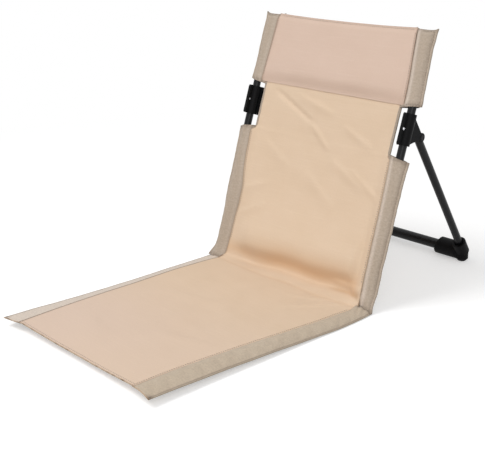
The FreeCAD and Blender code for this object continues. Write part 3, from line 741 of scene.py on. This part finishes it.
def makeBand(s, side, seed):
    hand = handOf[side]
    ahead = np.concatenate([np.linspace(s["rear"], s["rearTo"], s["rearRows"])[:-1],
                            np.linspace(s["rearTo"], s["front"], s["frontRows"])])
    ahead, q = np.meshgrid(ahead, np.linspace(0, 1, s["columns"]), indexing="ij")
    seamAt = along(-ahead, seams["cloth" + hand])
    inner = seamAt - s["tuck"] - s["cornerTuck"] * (1 - ease(ahead, s["rear"], 0.03))  # further in at the corner
    outer = along(ahead, seams["band" + hand]) + 0.0006 * uneven(0.0, ahead, 0.06, seed)
    edgeHigh = along(ahead, s["edgeHigh"][hand]) + 0.0005 * uneven(0.0, ahead, 0.09, seed + 1)
    x = inner + (outer - inner) * q
    innerHigh = along(ahead, seams["high" + hand]) - s["sink"]
    body = np.clip(q / s["bodyTo"], 0, 1)
    arch = np.clip(1 - np.abs(2 * body - 1) ** 2.2, 0, 1)
    pucker = 0.0009 * uneven(x, ahead, 0.035, seed + 2, 9) * ease(q, 0.25, 0.9)
    gather = np.sin(2 * math.pi * (ahead * 0.55 + 0.2 - x) / 0.012) * (1 - ease(ahead, 0.01, 0.055))
    crown = s["crownShare"][hand] * (0.0016 * ease(q, 0, 0.2) + along(ahead, s["crown"]))
    top = innerHigh + (edgeHigh + s["edge"] - innerHigh) * body ** s["fallPower"][hand]
    top = top + (crown + pucker + 0.001 * gather) * arch
    ground = seatLift(ahead) + s["floorGap"]
    low = ground + (edgeHigh - s["edge"] - ground) * body ** 2.2
    top = np.maximum(top, low + s["thinnest"])
    low = low + np.maximum(top - s["frontThick"] - low, 0) * ease(ahead, s["front"] - 0.016, s["front"])
    over = ahead + s["tip"] * ease(ahead, 0.4, s["front"]) * q  # the front corner points forwards
    upper = onSeat(side * x, over, top)
    under = onSeat(side * x, over, np.maximum(low, s["floorGap"]))

    # tones: the outer stitches and lip, painted shade along the seat's seam and in the crease, rows of thread at the
    # tip
    seam = 0.6 * bell((q - s["sewnAt"]) * 0.043, 0.0012) + 0.3 * ease(q, 0.97, 1.0)
    seam = seam + s["seamTone"][hand] * bell(x - seamAt, 0.0018)
    seam = seam + 0.9 * bell(ahead - s["rear"], 0.0042)
    seam = seam + 0.7 * bell(s["front"] - ahead, 0.006) * ease(q, 0.72, 0.95)

    threads = upper + gridNormals(upper) * side * sewing["overStrip"]
    stitchLines["seat"].append(threads[3:-2, np.argmin(np.abs(q[0] - s["sewnAt"]))])
    frontEdge[hand] = upper[-1]
    piece = clothMesh("seatBand" + hand, upper, under, x, ahead, np.clip(seam, 0, 0.9), bandStrip)
    sewn = (q < 0.1) | (q > 0.92) | (ahead < 0.012) | (ahead > s["front"] - 0.004)
    sewn = np.concatenate([sewn.ravel(), np.ones(q.size, bool)])
    fillBand(piece, filling, np.flatnonzero(sewn), filling["reach"][hand])
    addTone(piece, "tintAndHighlight", np.full(q.shape, s["tintAndHighlight"][hand]), under=0)  # a painted highlight, on its upper side only
    return piece


bandPieces = {side: makeBand(bands, side, 60 + 9 * side) for side in (1, -1)}
print("seat bands", len(bandPieces))


# front hem: the cloth's end turned under and sewn, a thin edge along cloth and bands
hem = {"deep": 0.0013, "thick": 0.0009, "drop": 0.0007, "points": 141, "sides": 12, "wrap": 0.007, "overlap": 0.002}


def makeHem(s):
    left, middle, right = frontEdge["Left"], frontEdge["cloth"], frontEdge["Right"]
    left = left[left[:, 0] < middle[0, 0] - s["overlap"]][::-1]
    right = right[right[:, 0] > middle[-1, 0] + s["overlap"]]
    path = np.concatenate([left, middle[1:-1], right])
    for _ in range(4):
        path[1:-1] = (path[:-2] + 2 * path[1:-1] + path[2:]) / 4
    run = np.concatenate([[0], np.cumsum(np.linalg.norm(np.diff(path, axis=0), axis=1))])
    even = np.linspace(0, run[-1], s["points"])
    path = np.stack([np.interp(even, run, path[:, k]) for k in range(3)], -1)
    v, a = np.meshgrid(even, ringSteps(s["sides"]), indexing="ij")
    lump = 1 + 0.25 * uneven(v, 0.0, 0.018, 92, 9)

    def rings(share):
        step = [np.zeros_like(a), -s["deep"] * share * lump * np.cos(a),
                s["thick"] * share * lump * np.sin(a) - s["drop"]]
        return path[:, None] + np.stack(step, -1)

    u = np.broadcast_to(np.linspace(0, s["wrap"], s["sides"] + 1), (len(even), s["sides"] + 1))
    seam = 0.42 + 0.5 * np.clip(1.6 * uneven(v, 0.0, 0.02, 93, 7), 0, 1)
    return clothMesh("frontHem", rings(1.0), rings(0.5), u, np.broadcast_to(v[:, :1], u.shape), seam, sand, around=True)


hemPiece = makeHem(hem)


# bindings: narrow tape round the back cloth's free edges beside the brackets
binding = {"at": 0.1606, "low": 0.26, "high": 0.358, "wide": 0.003, "thick": 0.0019, "behind": 0.0012,
           "rows": 34, "sides": 14, "wrap": 0.016, "tone": 0.15}


def makeBinding(s, side):
    v, a = np.meshgrid(np.linspace(s["low"], s["high"], s["rows"]), ringSteps(s["sides"]), indexing="ij")
    x = s["at"] + s["wide"] * np.cos(a) + 0.0004 * uneven(0.0, v, 0.04, 95)
    outer = onBack(side * x, v, s["behind"] + s["thick"] * np.sin(a))
    inner = onBack(side * (s["at"] + 0.5 * s["wide"] * np.cos(a)), v, s["behind"] + 0.5 * s["thick"] * np.sin(a))
    u = np.broadcast_to(np.linspace(0, s["wrap"], s["sides"] + 1), (s["rows"], s["sides"] + 1))
    return clothMesh("edgeBinding" + handOf[side], outer, inner, u, np.broadcast_to(v[:, :1], u.shape),
                     np.full(v.shape, s["tone"]), strip, around=True)


bindingPieces = {side: makeBinding(binding, side) for side in (1, -1)}
print("hem and bindings made")


# stitches: lockstitch along every seam, real pitch 3 mm, drawn at 4.2 mm so that the dashes show
stitching = {"Pitch": 0.0042, "Stitch Length": 0.003, "Thread Radius": 0.00045, "Seed": 3}
stitchVary = (0.85, 1.1)  # shortest and longest share of the length


def makeStitchTree(settings):
    tree = bpy.data.node_groups.new("stitches", "GeometryNodeTree")
    tree.is_modifier = True
    tree.interface.new_socket("Lines", in_out="INPUT", socket_type="NodeSocketGeometry")
    tree.interface.new_socket("Stitches", in_out="OUTPUT", socket_type="NodeSocketGeometry")
    for name in settings:
        kind = "NodeSocketInt" if name == "Seed" else "NodeSocketFloat"
        tree.interface.new_socket(name, in_out="INPUT", socket_type=kind)
    given = addNode(tree, "NodeGroupInput").outputs
    path = addNode(tree, "GeometryNodeMeshToCurve", {"Mesh": given["Lines"]})
    steps = addNode(tree, "GeometryNodeResampleCurve", {"Curve": path.outputs["Curve"], "Length": given["Pitch"]},
                    mode="LENGTH")
    bead = addNode(tree, "GeometryNodeMeshUVSphere", {"Segments": 6, "Rings": 4, "Radius": given["Thread Radius"]})
    stretch = calc(tree, "DIVIDE", given["Stitch Length"], given["Thread Radius"])
    halfStretch = calc(tree, "MULTIPLY", stretch, 0.5)
    vary = addNode(tree, "FunctionNodeRandomValue", {2: stitchVary[0], 3: stitchVary[1], "Seed": given["Seed"]},
                   data_type="FLOAT")
    longer = calc(tree, "MULTIPLY", halfStretch, vary.outputs[1])
    size = addNode(tree, "ShaderNodeCombineXYZ", {"X": 1.0, "Y": 1.0, "Z": longer})
    tangent = addNode(tree, "GeometryNodeInputTangent")
    turn = addNode(tree, "FunctionNodeAlignRotationToVector", {"Vector": tangent.outputs["Tangent"]}, axis="Z")
    placed = addNode(tree, "GeometryNodeInstanceOnPoints", {
        "Points": steps.outputs["Curve"], "Instance": bead.outputs["Mesh"], "Rotation": turn.outputs["Rotation"],
        "Scale": size.outputs["Vector"]})
    real = addNode(tree, "GeometryNodeRealizeInstances", {"Geometry": placed.outputs["Instances"]})
    finish = addNode(tree, "GeometryNodeSetMaterial", {"Geometry": real.outputs["Geometry"], "Material": seamThread})
    addNode(tree, "NodeGroupOutput", {"Stitches": finish.outputs["Geometry"]})
    return tree


def makeStitches(name, lines, tree, settings):
    points = np.concatenate(lines)
    starts = np.cumsum([0] + [len(line) for line in lines])
    edges = [(i, i + 1) for a, b in zip(starts[:-1], starts[1:]) for i in range(a, b - 1)]
    guide = bpy.data.objects.new(name + "Guide", bpy.data.meshes.new(name + "Guide"))
    guide.data.from_pydata(points.tolist(), edges, [])
    scene.collection.objects.link(guide)
    nodes = guide.modifiers.new("stitches", "NODES")
    nodes.node_group = tree
    for socket in tree.interface.items_tree:
        if socket.in_out == "INPUT" and socket.name in settings:
            nodes[socket.identifier] = settings[socket.name]
    mesh = bpy.data.meshes.new_from_object(guide.evaluated_get(bpy.context.evaluated_depsgraph_get()))
    mesh.name = name
    bpy.data.objects.remove(guide)
    obj = bpy.data.objects.new(name, mesh)
    scene.collection.objects.link(obj)
    mesh.polygons.foreach_set("use_smooth", np.ones(len(mesh.polygons), bool))
    return obj


stitchTree = makeStitchTree(stitching)
stitchPieces = {body: makeStitches(body + "Stitches", lines, stitchTree, stitching)
                for body, lines in stitchLines.items()}
print("stitches", {body: len(piece.data.polygons) for body, piece in stitchPieces.items()})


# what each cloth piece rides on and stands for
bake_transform(cloth)
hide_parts("seat_panel", "back_panel")
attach(headrestPiece, "backrest")
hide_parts("headrest_panel")
for (kind, side), piece in sleevePieces.items():
    hand = "right" if side > 0 else "left"
    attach(piece, "backrest")
    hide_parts(kind + "_sleeve_" + hand)
for side, piece in bandPieces.items():
    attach(piece, "seat")
    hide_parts("seat_band_" + ("right" if side > 0 else "left"))
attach(hemPiece, "seat")
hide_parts("front_hem")
for piece in bindingPieces.values():
    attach(piece, "backrest")
for body, piece in stitchPieces.items():
    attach(piece, body)

# finishes of the frame's own pieces
finishes = {"back_tube": tubeSteel, "leg_left": tubeSteel, "leg_right": tubeSteel, "cross_bar": tubeSteel,
            "bracket": moulded, "foot": moulded, "leg_cap": moulded, "clamp_rivet": zinc, "pivot_pin": pinSteel}
for name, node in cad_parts.items():
    for start, material in finishes.items():
        if name.startswith(start):
            node.data.materials.clear()
            node.data.materials.append(material)
print("finishes set")


# studio: soft light from the front left, a fill, white all round
lamps = {"key": {"place": (-1.3, -2.06, 3.9), "size": 2.0, "power": 98},
         "fill": {"place": (2.6, -2.2, 2.2), "size": 2.4, "power": 46}}
studio = {"light": 0.5, "floorColor": 0.72, "floorGlow": 0.4, "whiteFrom": 0.75, "whiteBy": 1.5, "floorHalf": 20,
          "lookAt": (0, 0, 0.15)}


def makeLamps():
    for name, lamp in lamps.items():
        data = bpy.data.lights.new(name, "AREA")
        data.size, data.energy = lamp["size"], lamp["power"]
        obj = bpy.data.objects.new(name, data)
        obj.location = lamp["place"]
        obj.rotation_euler = (Vector(studio["lookAt"]) - Vector(lamp["place"])).to_track_quat("-Z", "Y").to_euler()
        scene.collection.objects.link(obj)


def makeWorld(s):
    world = bpy.data.worlds.new("studio")
    scene.world = world
    world.use_nodes = True
    tree = world.node_tree
    tree.nodes.clear()
    path = addNode(tree, "ShaderNodeLightPath").outputs
    seen = calc(tree, "MAXIMUM", path["Is Camera Ray"], path["Is Glossy Ray"])
    seen = calc(tree, "MAXIMUM", seen, path["Is Transmission Ray"])
    level = remap(tree, seen, wanted=(s["light"], 1.0))
    sky = addNode(tree, "ShaderNodeBackground", {"Color": (1, 1, 1, 1), "Strength": level})
    addNode(tree, "ShaderNodeOutputWorld", {"Surface": sky.outputs[0]})


def makeFloor(s):
    mesh = bpy.data.meshes.new("floor")
    far = s["floorHalf"]
    mesh.from_pydata([(-far, -far, 0), (far, -far, 0), (far, far, 0), (-far, far, 0)], [], [(0, 1, 2, 3)])
    floor = bpy.data.objects.new("floor", mesh)
    scene.collection.objects.link(floor)
    material, tree = newMaterial("floorPale")
    path = addNode(tree, "ShaderNodeLightPath").outputs
    seen = calc(tree, "MAXIMUM", path["Is Camera Ray"], path["Is Glossy Ray"])
    place = addNode(tree, "ShaderNodeTexCoord").outputs["Object"]
    away = addNode(tree, "ShaderNodeVectorMath", {0: place}, operation="LENGTH").outputs["Value"]
    distant = remap(tree, away, (s["whiteFrom"], s["whiteBy"]), interpolation_type="SMOOTHSTEP")
    paint = addNode(tree, "ShaderNodeBsdfDiffuse", {"Color": (s["floorColor"],) * 3 + (1,)})
    light = addNode(tree, "ShaderNodeEmission", {"Strength": calc(tree, "MULTIPLY", seen, s["floorGlow"])})
    near = addNode(tree, "ShaderNodeAddShader", {0: paint.outputs[0], 1: light.outputs[0]})
    white = addNode(tree, "ShaderNodeEmission", {"Strength": 1.0})
    both = addNode(tree, "ShaderNodeMixShader", {0: calc(tree, "MULTIPLY", distant, seen), 1: near.outputs[0],
                                                 2: white.outputs[0]})
    addNode(tree, "ShaderNodeOutputMaterial", {"Surface": both.outputs[0]})
    mesh.materials.append(material)


makeLamps()
makeWorld(studio)
makeFloor(studio)
print("studio set")
